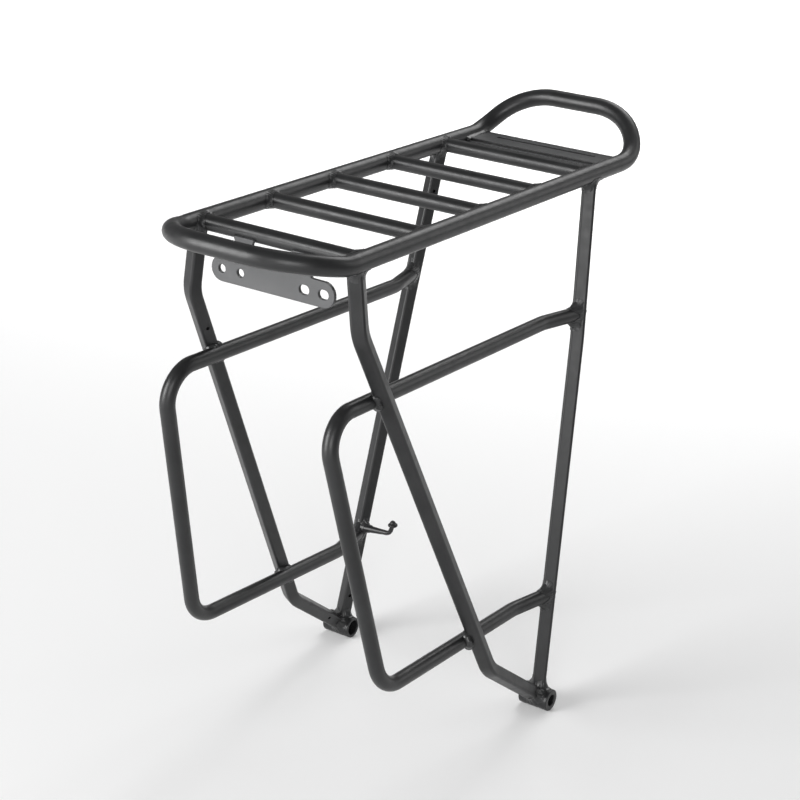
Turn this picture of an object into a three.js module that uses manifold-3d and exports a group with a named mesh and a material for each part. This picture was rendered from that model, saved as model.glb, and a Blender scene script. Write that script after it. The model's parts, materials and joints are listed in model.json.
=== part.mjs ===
// Bicycle rear pannier rack: a welded frame of bent aluminium tubes, powder coated.
// Millimetres, +Z up, -Y towards the front of the bicycle, +X its left side.
// The origin is the middle of the upright fixing plate's front face.
import * as THREE from "three";
import { mergeVertices } from "three/addons/utils/BufferGeometryUtils.js";
import Module from "manifold-3d";

const wasm = await Module();
wasm.setup();

// ---------- driving dimensions ----------
// Spreads are outboard of the rail centres, drops are below them.
const WELD_GAP = 0.3; // room between a piece and the one it is fitted to

// deck
const RAIL_SPACING = 120;
const RAIL_HEIGHT = 24; // rail centres above the origin
const RAIL_R = 6;
const RAIL_WALL = 1.5;
const DECK_LENGTH = 263.85; // first crossbar to last
const FIRST_CROSSBAR_Y = 6.1;
const CROSSBAR_COUNT = 5;
const CROSSBAR_R = 5;
const CROSSBAR_WALL = 1.2;

// the two ends of the top hoop, folded up from the deck and rounded in plan
const NOSE = { beyond: 16.2, length: 37.7, angle: 10.4, foldR: 14, cornerR: 45.5 };
const LOOP = { beyond: 56.5, length: 35.1, angle: 45.5, foldR: 36.3, cornerR: 42.8 };

// upright fixing plate with two tabs up to the first crossbar
const PLATE_THICK = 2.5;
const PLATE_END_R = 8;
const PLATE_OUTER_HOLES = 74.6;
const PLATE_INNER_HOLES = 46.8;
const PLATE_HOLE_R = 2.65;
const PLATE_SLOT_R = 3;
const PLATE_SLOT_RUN = 1.5;
const TAB_SPACING = 43;
const TAB_WIDTH = 13;
const TAB_FILLET = 3;
const TAB_OVERLAP = 3.5; // tab top above the crossbar's underside

// flat lamp plate between the rails, behind the last crossbar
const LAMP_PLATE_BEHIND = 24.2; // its front edge behind the last crossbar
const LAMP_PLATE_DEPTH = 28;
const LAMP_PLATE_THICK = 3;
const LAMP_PLATE_TOP = 0.9; // above the rail centres
const LAMP_SLOT_LENGTH = 80;
const LAMP_SLOT_WIDTH = 4.6;
const LAMP_SLOT_FROM_REAR = 9.5;

// feet
const FOOT = { spread: 25.6, y: 207.1, drop: 361.2 };
const BOSS_R = 7.8;
const BOSS_LENGTH = 22.5;
const BOSS_BORE_R = 4.05; // outer part, for the bolt
const BOSS_SOCKET_R = 5.6; // inner part, over the bicycle's eyelet
const BOSS_SOCKET_DEPTH = 9;

// legs: one flat-sided rounded tube, turned a little about its own length
const LEG_WIDTH = 9.6;
const LEG_DEPTH = 8.8;
const LEG_CORNER_R = 2;
const LEG_WALL = 1.4;
const LEG_TOP_DROP = 3; // the cut top reaches this close to the rail centres
const FRONT_LEG_TURN = 20;
const FRONT_LEG_TOP = { spread: -2.6, y: 2.4 };
const FRONT_LEG_KNEE = { spread: 2.3, y: 2.6, drop: 43.3, bend: 28 };
const FRONT_LEG_HEEL = { inside: 3, ahead: 66.8, above: 49.3, bend: 30 }; // from the foot
const REAR_LEG_TURN = 28;
const REAR_LEG_TOP = { spread: 0.2, ahead: 0.9 }; // ahead of the last crossbar
const REAR_LEG_BOW = { out: 2.2, back: 1.7, drop: 110, bend: 260 };

// side hoops, which keep the bags off the wheel
const SIDE_HOOP_R = 5;
const SIDE_HOOP_WALL = 1.2;
const HOOP_INSIDE_LEG = 6.2; // hoop centre inboard of the front leg's centre where they cross
const UPPER_RUN = { drop: 89, frontY: -26.9, rearRise: -3.7, toe: 0, bend: 20 };
const LOWER_RUN = { aboveFoot: 81.4, frontY: 23, rearRise: -8, toe: 1.1, bend: 25.5 };
const UPPER_TURN_OUT = { ahead: 35.3, bend: 30 }; // before the rear leg
const LOWER_TURN_OUT = { ahead: 36.9, bend: 30 };

// cord hook inside the right rear leg
const HOOK = { aboveHoopEnd: 4.5, inside: 2.5, ahead: 3.5, reach: 25.5, rise: 2.5, tipReach: 2.5, tipRise: 8 };
const HOOK_ROOT_R = 3.0;
const HOOK_TIP_R = 1.8;
const HOOK_COLLAR_R = 3.6;
const HOOK_COLLAR_LENGTH = 2.2;
const HOOK_BALL_R = 2.0;

// weld beads
const CROSSBAR_BEAD = { root: 1.5, length: 5.5 };
const HOOP_BEAD = { root: 2.3, length: 6.5 };
const LEG_TOP_BEAD = { start: 1, root: 4.8, length: 11, squash: 0.76 };
const CROSSING_BEAD = { r: 8.4, inside: 2.5, outside: 2 };
const FOOT_BEAD = { root: 2.2, length: 6 };
const VENT_R = 1.25;
const FRONT_LEG_VENTS = [70.9, 345.2]; // drops of the small vent holes beside the welds
const REAR_LEG_VENTS = [32.8, 337.1];

const ROUND_SIDES = 10;
const BOSS_SIDES = 20;
const ARC_STEP = 18; // degrees of bend between two stations

// ---------- places worked out from them ----------
const RAIL_X = RAIL_SPACING / 2;
const LAST_CROSSBAR_Y = FIRST_CROSSBAR_Y + DECK_LENGTH;
const SIDES = { left: 1, right: -1 };
const vec = (x, y, z) => new THREE.Vector3(x, y, z);
const place = (side, spread, y, drop) => vec(side * (RAIL_X + spread), y, RAIL_HEIGHT - drop);
const footAt = (side) => place(side, FOOT.spread, FOOT.y, FOOT.drop);

// The first point where a chain of stations passes a value of one coordinate.
function pointWhere(stations, axis, value) {
  for (let i = 1; i < stations.length; i++) {
    const [a, b] = [stations[i - 1], stations[i]];
    if ((a[axis] - value) * (b[axis] - value) <= 0 && a[axis] !== b[axis]) {
      return a.clone().lerp(b, (value - a[axis]) / (b[axis] - a[axis]));
    }
  }
  throw new Error(`no station passes ${axis} = ${value}`);
}

// ---------- solids ----------
function solid(geometry) {
  const bare = geometry.clone();
  bare.deleteAttribute("normal");
  bare.deleteAttribute("uv");
  const merged = mergeVertices(bare, 1e-4);
  const kept = [];
  const index = merged.index.array;
  for (let i = 0; i < index.length; i += 3) {
    const [a, b, c] = index.slice(i, i + 3);
    if (a !== b && b !== c && c !== a) kept.push(a, b, c);
  }
  const closed = (triVerts) => new wasm.Manifold(
    new wasm.Mesh({ numProp: 3, vertProperties: merged.attributes.position.array, triVerts }),
  );
  const body = closed(new Uint32Array(kept));
  return body.volume() > 0 ? body : closed(new Uint32Array(kept).reverse());
}

// Cuts a piece to fit its neighbours and keeps its main body, without the slivers beyond them.
function fitted(body, ...neighbours) {
  const cut = neighbours.reduce((left, other) => left.subtract(other), body);
  const parts = cut.decompose();
  return parts.reduce((best, part) => (part.volume() > best.volume() ? part : best));
}

function piece(name, body) {
  const mesh = body.getMesh();
  const geometry = new THREE.BufferGeometry();
  geometry.setAttribute("position", new THREE.BufferAttribute(mesh.vertProperties, 3));
  geometry.setIndex(new THREE.BufferAttribute(mesh.triVerts, 1));
  geometry.computeVertexNormals();
  const coat = new THREE.MeshStandardMaterial({ color: 0x4b4d4e, roughness: 0.55, metalness: 0.3 });
  coat.name = "powder_coat";
  const made = new THREE.Mesh(geometry, coat);
  made.name = name;
  return made;
}

// A path through ready-made stations. The section keeps one reference direction in view, so
// a flat-sided tube keeps its faces turned the same way round every bend.
class StationPath extends THREE.Curve {
  constructor(stations, reference, closed = false) {
    super();
    this.stations = stations;
    this.reference = reference;
    this.closed = closed;
  }
  getPointAt(u) {
    const count = this.stations.length;
    return this.stations[Math.round(u * (this.closed ? count : count - 1)) % count].clone();
  }
  getSpacedPoints() {
    return this.stations.map((p) => p.clone());
  }
  directionAt(i) {
    const count = this.stations.length;
    const here = this.stations[i % count];
    const along = vec(0, 0, 0);
    if (this.closed || i < count - 1) {
      along.add(this.stations[(i + 1) % count].clone().sub(here).normalize());
    }
    if (this.closed || i > 0) {
      along.add(here.clone().sub(this.stations[(i - 1 + count) % count]).normalize());
    }
    return along.normalize();
  }
  computeFrenetFrames(segments) {
    const frames = { tangents: [], normals: [], binormals: [] };
    for (let i = 0; i <= segments; i++) {
      const along = this.directionAt(i);
      const across = this.reference.clone().projectOnPlane(along).normalize();
      frames.tangents.push(along);
      frames.normals.push(across);
      frames.binormals.push(along.clone().cross(across));
    }
    return frames;
  }
}

// Straight runs between corners, each corner that has a bend radius rounded to it.
function route(corners) {
  const stations = [];
  corners.forEach(({ at, bend }, i) => {
    if (!bend) {
      stations.push(at);
      return;
    }
    const back = corners[i - 1].at.clone().sub(at).normalize();
    const ahead = corners[i + 1].at.clone().sub(at).normalize();
    const half = back.angleTo(ahead) / 2;
    const turn = Math.PI - 2 * half;
    const centre = back.clone().add(ahead).normalize().multiplyScalar(bend / Math.sin(half)).add(at);
    const first = back.multiplyScalar(bend / Math.tan(half)).add(at).sub(centre);
    const last = ahead.multiplyScalar(bend / Math.tan(half)).add(at).sub(centre);
    const steps = Math.max(2, Math.ceil(THREE.MathUtils.radToDeg(turn) / ARC_STEP));
    for (let k = 0; k <= steps; k++) {
      const a = (turn * k) / steps;
      const spoke = first.clone().multiplyScalar(Math.sin(turn - a) / Math.sin(turn));
      stations.push(spoke.addScaledVector(last, Math.sin(a) / Math.sin(turn)).add(centre));
    }
  });
  return stations;
}

function circleSection(r, wall) {
  const section = new THREE.Shape().absarc(0, 0, r, 0, 2 * Math.PI, false);
  if (wall) section.holes.push(new THREE.Path().absarc(0, 0, r - wall, 0, 2 * Math.PI, false));
  return section;
}

function roundedBox(outline, depth, width, r) {
  const x = depth / 2 - r;
  const y = width / 2 - r;
  outline.absarc(x, y, r, 0, Math.PI / 2, false);
  outline.absarc(-x, y, r, Math.PI / 2, Math.PI, false);
  outline.absarc(-x, -y, r, Math.PI, 1.5 * Math.PI, false);
  outline.absarc(x, -y, r, 1.5 * Math.PI, 2 * Math.PI, false);
  return outline;
}

function legSection(grow, wall) {
  const box = (outline, g) => roundedBox(outline, LEG_DEPTH + 2 * g, LEG_WIDTH + 2 * g, LEG_CORNER_R + g);
  const section = box(new THREE.Shape(), grow);
  if (wall) section.holes.push(box(new THREE.Path(), -wall));
  return section;
}

function sweep(section, stations, reference, curveSegments) {
  const extrudePath = new StationPath(stations, reference);
  const steps = stations.length - 1;
  return solid(new THREE.ExtrudeGeometry(section, { steps, extrudePath, curveSegments }));
}

// A solid of revolution about any line, from [radius, distance along the line] pairs.
function turned(profile, from, direction, sides = ROUND_SIDES) {
  const points = profile.map(([r, h]) => new THREE.Vector2(r, h));
  const geometry = new THREE.LatheGeometry(points, sides);
  geometry.applyQuaternion(
    new THREE.Quaternion().setFromUnitVectors(vec(0, 1, 0), direction.clone().normalize()),
  );
  geometry.translate(from.x, from.y, from.z);
  return solid(geometry);
}

function rod(r, from, to, endR = r) {
  const way = to.clone().sub(from);
  return turned([[0, 0], [r, 0], [endR, way.length()], [0, way.length()]], from, way);
}

// A weld bead round a tube: wide at the joint, blending into the tube along its length.
function bead(tubeR, { root, length }, from, direction) {
  const inner = tubeR + WELD_GAP;
  const profile = [
    [inner, 0], [tubeR + root, 0], [tubeR + 0.55 * root, 0.45 * length],
    [inner + 0.25, length], [inner, length], [inner, 0],
  ];
  return turned(profile, from, direction);
}

function extrudedFlat(outline, thickness) {
  return new THREE.ExtrudeGeometry(outline, { depth: thickness, bevelEnabled: false, curveSegments: 4 });
}

function slotPath(x, y, halfRun, r) {
  const path = new THREE.Path();
  path.absarc(x + halfRun, y, r, -Math.PI / 2, Math.PI / 2, false);
  path.absarc(x - halfRun, y, r, Math.PI / 2, 1.5 * Math.PI, false);
  return path;
}

// ---------- top hoop ----------
// How far along and how high a point of the flat outline lands once the end is folded up.
function folded(s, foldAt, { angle, foldR }) {
  const turn = THREE.MathUtils.degToRad(angle);
  const foldStart = foldAt - foldR * Math.tan(turn / 2);
  if (s <= foldStart) return [s, 0];
  const bent = Math.min((s - foldStart) / foldR, turn);
  const straight = Math.max(s - foldStart - foldR * turn, 0);
  return [
    foldStart + foldR * Math.sin(bent) + straight * Math.cos(turn),
    foldR * (1 - Math.cos(bent)) + straight * Math.sin(turn),
  ];
}

// One quarter of the hoop, from its rail to beside the middle of its end bar.
function hoopEnd(foldAt, end, direction) {
  const cornerStart = foldAt + end.length - end.cornerR;
  const foldStart = foldAt - end.foldR * Math.tan(THREE.MathUtils.degToRad(end.angle) / 2);
  const flat = foldStart < cornerStart ? [[RAIL_X, foldStart]] : [];
  const steps = 7;
  for (let k = 0; k <= steps; k++) {
    const a = ((Math.PI / 2) * k) / steps;
    const inset = end.cornerR * (1 - Math.cos(a));
    flat.push([RAIL_X - inset, cornerStart + end.cornerR * Math.sin(a)]);
  }
  return flat.map(([x, s]) => {
    const [along, up] = folded(s, foldAt, end);
    return vec(x, direction * along, RAIL_HEIGHT + up);
  });
}

function hoopStations() {
  const nose = hoopEnd(NOSE.beyond - FIRST_CROSSBAR_Y, NOSE, -1);
  const loop = hoopEnd(LAST_CROSSBAR_Y + LOOP.beyond, LOOP, 1);
  const left = [...nose.reverse(), ...loop];
  const right = left.map((p) => vec(-p.x, p.y, p.z)).reverse();
  return [...left, ...right];
}

function hoopSolid(r) {
  const path = new StationPath(hoopStations(), vec(0, 0, 1), true);
  return solid(new THREE.TubeGeometry(path, path.stations.length, r, ROUND_SIDES, true));
}

const railClearance = hoopSolid(RAIL_R + WELD_GAP);

// The hoop is open into the tops of the four legs, where the hot air of welding gets out.
function topHoop() {
  const vents = Object.values(SIDES).flatMap((side) => [frontLegTop(side), rearLegTop(side)]);
  const drill = (top) => {
    const above = vec(Math.sign(top.x) * RAIL_X, top.y, RAIL_HEIGHT);
    return rod(2, above, above.clone().setZ(RAIL_HEIGHT - 2 * RAIL_R));
  };
  const tube = hoopSolid(RAIL_R).subtract(hoopSolid(RAIL_R - RAIL_WALL));
  return piece("top_hoop", fitted(tube, ...vents.map(drill)));
}

// ---------- crossbars ----------
const crossbarY = (i) => FIRST_CROSSBAR_Y + (DECK_LENGTH * i) / (CROSSBAR_COUNT - 1);

function crossbarBar(i, grow) {
  const end = vec(RAIL_X, crossbarY(i), RAIL_HEIGHT);
  return rod(CROSSBAR_R + grow, end.clone().setX(-RAIL_X), end);
}

function crossbars() {
  const made = [];
  for (let i = 0; i < CROSSBAR_COUNT; i++) {
    const tube = crossbarBar(i, 0).subtract(crossbarBar(i, -CROSSBAR_WALL));
    made.push(piece(`crossbar_${i + 1}`, fitted(tube, railClearance)));
    for (const [label, side] of Object.entries(SIDES)) {
      const from = vec(side * (RAIL_X - 3), crossbarY(i), RAIL_HEIGHT);
      const ring = bead(CROSSBAR_R, CROSSBAR_BEAD, from, vec(-side, 0, 0));
      const legsNear = [frontLegTube(side, WELD_GAP), rearLegTube(side, WELD_GAP)];
      made.push(piece(`weld_crossbar_${i + 1}_${label}`, fitted(ring, railClearance, ...legsNear)));
    }
  }
  return made;
}

// ---------- plates ----------
function frontPlate() {
  const crossbarUnderside = RAIL_HEIGHT - CROSSBAR_R;
  const tabTop = crossbarUnderside + TAB_OVERLAP;
  const endX = PLATE_OUTER_HOLES / 2;
  const outline = new THREE.Shape();
  outline.absarc(endX, 0, PLATE_END_R, -Math.PI / 2, Math.PI / 2, false);
  for (const side of [1, -1]) {
    const outer = (side * TAB_SPACING) / 2 + TAB_WIDTH / 2;
    const inner = outer - TAB_WIDTH;
    const rootZ = PLATE_END_R + TAB_FILLET;
    outline.absarc(outer + TAB_FILLET, rootZ, TAB_FILLET, 1.5 * Math.PI, Math.PI, true);
    outline.lineTo(outer, tabTop);
    outline.lineTo(inner, tabTop);
    outline.absarc(inner - TAB_FILLET, rootZ, TAB_FILLET, 0, -Math.PI / 2, true);
  }
  outline.absarc(-endX, 0, PLATE_END_R, Math.PI / 2, 1.5 * Math.PI, false);
  for (const x of [PLATE_OUTER_HOLES / 2, PLATE_INNER_HOLES / 2]) {
    outline.holes.push(slotPath(x, 0, PLATE_SLOT_RUN / 2, PLATE_SLOT_R));
    outline.holes.push(new THREE.Path().absarc(-x, 0, PLATE_HOLE_R, 0, 2 * Math.PI, false));
  }
  const flat = extrudedFlat(outline, PLATE_THICK);
  flat.rotateX(Math.PI / 2);
  flat.translate(0, PLATE_THICK, 0);
  return piece("front_plate", fitted(solid(flat), crossbarBar(0, WELD_GAP)));
}

function lampPlate() {
  const frontY = LAST_CROSSBAR_Y + LAMP_PLATE_BEHIND;
  const rearY = frontY + LAMP_PLATE_DEPTH;
  const reach = RAIL_X - RAIL_R / 2;
  const outline = new THREE.Shape();
  outline.moveTo(-reach, frontY);
  outline.lineTo(reach, frontY);
  outline.lineTo(reach, rearY);
  outline.lineTo(-reach, rearY);
  const halfRun = (LAMP_SLOT_LENGTH - LAMP_SLOT_WIDTH) / 2;
  outline.holes.push(slotPath(0, rearY - LAMP_SLOT_FROM_REAR, halfRun, LAMP_SLOT_WIDTH / 2));
  const flat = extrudedFlat(outline, LAMP_PLATE_THICK);
  flat.translate(0, 0, RAIL_HEIGHT + LAMP_PLATE_TOP - LAMP_PLATE_THICK);
  return piece("lamp_plate", fitted(solid(flat), railClearance));
}

// ---------- legs ----------
const frontLegTop = (side) => place(side, FRONT_LEG_TOP.spread, FRONT_LEG_TOP.y, LEG_TOP_DROP);
const rearLegTop = (side) =>
  place(side, REAR_LEG_TOP.spread, LAST_CROSSBAR_Y - REAR_LEG_TOP.ahead, LEG_TOP_DROP);

function frontLegRoute(side) {
  const knee = FRONT_LEG_KNEE;
  const heel = FRONT_LEG_HEEL;
  const heelAt = place(side, FOOT.spread - heel.inside, FOOT.y - heel.ahead, FOOT.drop - heel.above);
  return route([
    { at: frontLegTop(side) },
    { at: place(side, knee.spread, knee.y, knee.drop), bend: knee.bend },
    { at: heelAt, bend: heel.bend },
    { at: footAt(side) },
  ]);
}

function rearLegRoute(side) {
  const straight = [rearLegTop(side), footAt(side)];
  const bow = pointWhere(straight, "z", RAIL_HEIGHT - REAR_LEG_BOW.drop);
  bow.add(vec(side * REAR_LEG_BOW.out, REAR_LEG_BOW.back, 0));
  return route([{ at: straight[0] }, { at: bow, bend: REAR_LEG_BOW.bend }, { at: straight[1] }]);
}

// The direction a leg's broad face looks in.
function faceOf(side, degrees) {
  const turn = THREE.MathUtils.degToRad(degrees);
  return vec(side * Math.sin(turn), -Math.cos(turn), 0);
}

const frontLegTube = (side, grow, wall) =>
  sweep(legSection(grow, wall), frontLegRoute(side), faceOf(side, FRONT_LEG_TURN), 1);
const rearLegTube = (side, grow, wall) =>
  sweep(legSection(grow, wall), rearLegRoute(side), faceOf(side, REAR_LEG_TURN), 1);

// Vent holes through the wall of a leg that looks at the wheel.
function legVents(stations, drops, face) {
  const inward = face.clone().cross(vec(0, 0, Math.sign(stations[0].x)));
  return drops.map((drop) => {
    const at = pointWhere(stations, "z", RAIL_HEIGHT - drop);
    return turned([[0, 0], [VENT_R, 0], [VENT_R, LEG_WIDTH], [0, LEG_WIDTH]], at, inward, 8);
  });
}

function bossClearance(side) {
  const r = BOSS_R + WELD_GAP;
  const length = BOSS_LENGTH + 2 * WELD_GAP;
  const from = footAt(side).sub(vec((side * length) / 2, 0, 0));
  return turned([[0, 0], [r, 0], [r, length], [0, length]], from, vec(side, 0, 0), BOSS_SIDES);
}

function legs(label, side) {
  const boss = bossClearance(side);
  const hoop = sideHoopTube(side, WELD_GAP);
  const front = fitted(
    frontLegTube(side, 0, LEG_WALL), railClearance, crossbarBar(0, WELD_GAP), boss, hoop,
    rearLegTube(side, WELD_GAP),
    ...legVents(frontLegRoute(side), FRONT_LEG_VENTS, faceOf(side, FRONT_LEG_TURN)),
  );
  const rear = fitted(
    rearLegTube(side, 0, LEG_WALL), railClearance, crossbarBar(CROSSBAR_COUNT - 1, WELD_GAP), boss,
    ...legVents(rearLegRoute(side), REAR_LEG_VENTS, faceOf(side, REAR_LEG_TURN)),
  );
  return [piece(`front_leg_${label}`, front), piece(`rear_leg_${label}`, rear)];
}

// ---------- side hoops ----------
// From the rear leg forward along the upper run, round the front and back along the lower run.
function sideHoopRoute(side) {
  const frontLeg = frontLegRoute(side);
  const rearLeg = rearLegRoute(side);
  const corner = (run, drop) => {
    const crossing = pointWhere(frontLeg, "z", RAIL_HEIGHT - drop);
    return crossing.setX(crossing.x - side * (HOOP_INSIDE_LEG - run.toe)).setY(run.frontY);
  };
  const turnOut = (run, turn, drop, front) => {
    const end = pointWhere(rearLeg, "z", RAIL_HEIGHT - drop + run.rearRise);
    const at = end.clone().setX(front.x - side * 1.6 * run.toe).setY(end.y - turn.ahead);
    return [{ at, bend: turn.bend }, { at: end }];
  };
  const lowerDrop = FOOT.drop - LOWER_RUN.aboveFoot;
  const upperFront = corner(UPPER_RUN, UPPER_RUN.drop);
  const lowerFront = corner(LOWER_RUN, lowerDrop);
  return route([
    ...turnOut(UPPER_RUN, UPPER_TURN_OUT, UPPER_RUN.drop, upperFront).reverse(),
    { at: upperFront, bend: UPPER_RUN.bend },
    { at: lowerFront, bend: LOWER_RUN.bend },
    ...turnOut(LOWER_RUN, LOWER_TURN_OUT, lowerDrop, lowerFront),
  ]);
}

function sideHoopTube(side, grow, wall) {
  return sweep(circleSection(SIDE_HOOP_R + grow, wall), sideHoopRoute(side), vec(side, 0, 0), ROUND_SIDES / 2);
}

function sideHoop(label, side) {
  const rearLeg = rearLegTube(side, WELD_GAP);
  return piece(`side_hoop_${label}`, fitted(sideHoopTube(side, 0, SIDE_HOOP_WALL), rearLeg));
}

// ---------- feet ----------
function footBoss(label, side) {
  const profile = [
    [BOSS_SOCKET_R, 0], [BOSS_R, 0], [BOSS_R, BOSS_LENGTH], [BOSS_BORE_R, BOSS_LENGTH],
    [BOSS_BORE_R, BOSS_SOCKET_DEPTH], [BOSS_SOCKET_R, BOSS_SOCKET_DEPTH], [BOSS_SOCKET_R, 0],
  ];
  const inner = footAt(side).sub(vec((side * BOSS_LENGTH) / 2, 0, 0));
  return piece(`foot_boss_${label}`, turned(profile, inner, vec(side, 0, 0), BOSS_SIDES));
}

// ---------- cord hook ----------
function hookRod(grow) {
  const side = SIDES.right;
  const hoopEnd = sideHoopRoute(side).pop();
  const root = pointWhere(rearLegRoute(side), "z", hoopEnd.z + HOOK.aboveHoopEnd);
  root.add(vec(-side * (HOOK.inside - grow), -HOOK.ahead, 0));
  const elbow = root.clone().add(vec(-side * (HOOK.reach + grow), 0, HOOK.rise));
  const tip = elbow.clone().add(vec(-side * HOOK.tipReach, 0, HOOK.tipRise));
  const up = tip.clone().sub(elbow).normalize();
  const collarEnd = tip.clone().addScaledVector(up, -HOOK_COLLAR_LENGTH);
  const knob = (r, at) => {
    const ball = new THREE.SphereGeometry(r + grow, ROUND_SIDES, ROUND_SIDES / 2);
    return solid(ball.translate(at.x, at.y, at.z));
  };
  return rod(HOOK_ROOT_R + grow, root, elbow, HOOK_TIP_R + grow)
    .add(knob(HOOK_TIP_R, elbow))
    .add(rod(HOOK_TIP_R + grow, elbow, tip))
    .add(rod(HOOK_COLLAR_R + grow, collarEnd, tip))
    .add(knob(HOOK_BALL_R, tip));
}

function cordHook() {
  const side = SIDES.right;
  const neighbours = [rearLegTube(side, WELD_GAP), sideHoopTube(side, WELD_GAP)];
  return piece("cord_hook", fitted(hookRod(0), ...neighbours));
}

// ---------- welds at the legs and hoops ----------
// The bead under a rail is longer along the rail than across it.
function legTopWeld(name, side, stations, legClearance, crossbar) {
  const [top, below] = stations;
  const down = below.clone().sub(top).normalize();
  const halfLeg = LEG_WIDTH / 2;
  const { start, root, length, squash } = LEG_TOP_BEAD;
  const profile = [
    [0, start], [halfLeg + root, start], [halfLeg + 0.8 * root, 0.35 * length],
    [halfLeg + 0.3 * root, 0.7 * length], [halfLeg + 0.2 * root, length], [0, length],
  ];
  const cone = new THREE.LatheGeometry(profile.map(([r, h]) => new THREE.Vector2(r, h)), ROUND_SIDES);
  cone.rotateX(-Math.PI / 2);
  cone.scale(squash, 1, 1);
  cone.applyQuaternion(new THREE.Quaternion().setFromUnitVectors(vec(0, 0, -1), down));
  cone.translate(top.x, top.y, top.z);
  const crossbarRoom = crossbarBar(crossbar, CROSSBAR_BEAD.root + WELD_GAP);
  return piece(name, fitted(solid(cone), railClearance, legClearance, crossbarRoom));
}

function crossingWeld(name, side, hoopStationsFrom, drop, clearances) {
  const leg = pointWhere(frontLegRoute(side), "z", RAIL_HEIGHT - drop);
  const hoop = pointWhere(hoopStationsFrom, "y", leg.y);
  const from = hoop.clone().setX(hoop.x - side * CROSSING_BEAD.inside);
  const to = hoop.clone().setX(leg.x + side * CROSSING_BEAD.outside);
  return piece(name, fitted(rod(CROSSING_BEAD.r, from, to), ...clearances));
}

function hoopEndWeld(name, stations, clearances) {
  const [end, before] = stations;
  return piece(name, fitted(bead(SIDE_HOOP_R, HOOP_BEAD, ...weldStart(end, before)), ...clearances));
}

// A bead at a tube's cut end starts inside the piece that the tube runs into.
function weldStart(end, before) {
  const back = before.clone().sub(end).normalize();
  return [end.clone().addScaledVector(back, LEG_DEPTH / 4), back];
}

function footWeld(label, side) {
  const collars = [frontLegRoute(side), rearLegRoute(side)].map((stations) => {
    const [before, end] = stations.slice(-2);
    const back = before.clone().sub(end).normalize();
    const from = end.clone().addScaledVector(back, BOSS_R - 2);
    const r = LEG_WIDTH / 2 + FOOT_BEAD.root;
    const length = FOOT_BEAD.length;
    return turned([[0, 0], [r, 0], [0.93 * r, 0.6 * length], [0.78 * r, length], [0, length]], from, back);
  });
  const both = collars[0].add(collars[1]);
  const clearances = [
    bossClearance(side), frontLegTube(side, WELD_GAP), rearLegTube(side, WELD_GAP),
  ];
  return piece(`weld_foot_${label}`, fitted(both, ...clearances));
}

function legWelds(label, side) {
  const frontLeg = frontLegTube(side, WELD_GAP);
  const rearLeg = rearLegTube(side, WELD_GAP);
  const hoop = sideHoopTube(side, WELD_GAP);
  const hoopRoute = sideHoopRoute(side);
  const fromBelow = [...hoopRoute].reverse();
  const lowerDrop = FOOT.drop - LOWER_RUN.aboveFoot;
  const last = CROSSBAR_COUNT - 1;
  return [
    legTopWeld(`weld_front_leg_top_${label}`, side, frontLegRoute(side), frontLeg, 0),
    legTopWeld(`weld_rear_leg_top_${label}`, side, rearLegRoute(side), rearLeg, last),
    crossingWeld(`weld_upper_crossing_${label}`, side, hoopRoute, UPPER_RUN.drop, [frontLeg, hoop]),
    crossingWeld(`weld_lower_crossing_${label}`, side, fromBelow, lowerDrop, [frontLeg, hoop]),
    hoopEndWeld(`weld_upper_hoop_end_${label}`, hoopRoute, [rearLeg]),
    hoopEndWeld(`weld_lower_hoop_end_${label}`, fromBelow, [rearLeg, hookRod(WELD_GAP)]),
    footWeld(label, side),
  ];
}

// ---------- assembly ----------
const rack = new THREE.Group();
rack.name = "pannier_rack";
rack.add(topHoop(), ...crossbars(), frontPlate(), lampPlate(), cordHook());
for (const [label, side] of Object.entries(SIDES)) {
  rack.add(...legs(label, side), sideHoop(label, side), footBoss(label, side));
  rack.add(...legWelds(label, side));
}

export default rack;
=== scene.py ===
# %% [markdown]
# # A bicycle's rear pannier rack
# This rack is a welded aluminium frame. One thick tube goes all the way round the deck and
# rises at the back into a carrying loop. Thinner tubes cross the deck, four flat-sided legs
# run down to two feet, and a bent hoop on each side keeps the bags off the wheel.
#
# The faceted CAD model arrives as a fixed frame. Every tube, plate and weld bead is then made
# again with a fine surface, in metres, where the frame has it.

# %% Load the frame
import json
import math
import random

import bpy
from mathutils import Matrix, Vector


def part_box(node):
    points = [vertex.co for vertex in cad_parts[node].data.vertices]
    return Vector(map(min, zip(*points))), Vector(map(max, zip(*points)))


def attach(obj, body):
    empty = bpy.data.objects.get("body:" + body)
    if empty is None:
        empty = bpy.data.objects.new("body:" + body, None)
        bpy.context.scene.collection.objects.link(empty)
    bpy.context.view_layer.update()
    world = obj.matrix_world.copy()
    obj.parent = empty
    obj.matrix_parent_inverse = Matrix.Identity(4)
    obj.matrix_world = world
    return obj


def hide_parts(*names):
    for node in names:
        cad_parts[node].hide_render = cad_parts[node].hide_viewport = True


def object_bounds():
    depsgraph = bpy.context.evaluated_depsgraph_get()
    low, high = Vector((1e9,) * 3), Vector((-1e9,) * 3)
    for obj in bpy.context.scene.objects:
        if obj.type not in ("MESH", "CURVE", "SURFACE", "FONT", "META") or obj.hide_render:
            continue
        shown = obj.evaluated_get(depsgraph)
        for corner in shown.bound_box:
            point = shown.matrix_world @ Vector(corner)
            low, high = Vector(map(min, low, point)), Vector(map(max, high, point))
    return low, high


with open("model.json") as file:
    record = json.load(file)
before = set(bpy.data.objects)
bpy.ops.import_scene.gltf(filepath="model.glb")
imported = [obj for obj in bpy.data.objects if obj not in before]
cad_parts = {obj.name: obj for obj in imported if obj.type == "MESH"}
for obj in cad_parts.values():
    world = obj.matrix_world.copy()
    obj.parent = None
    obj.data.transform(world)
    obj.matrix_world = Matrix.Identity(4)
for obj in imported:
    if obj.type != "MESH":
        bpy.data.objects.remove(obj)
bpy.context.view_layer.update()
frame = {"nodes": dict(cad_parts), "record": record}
MM = 0.001

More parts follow.
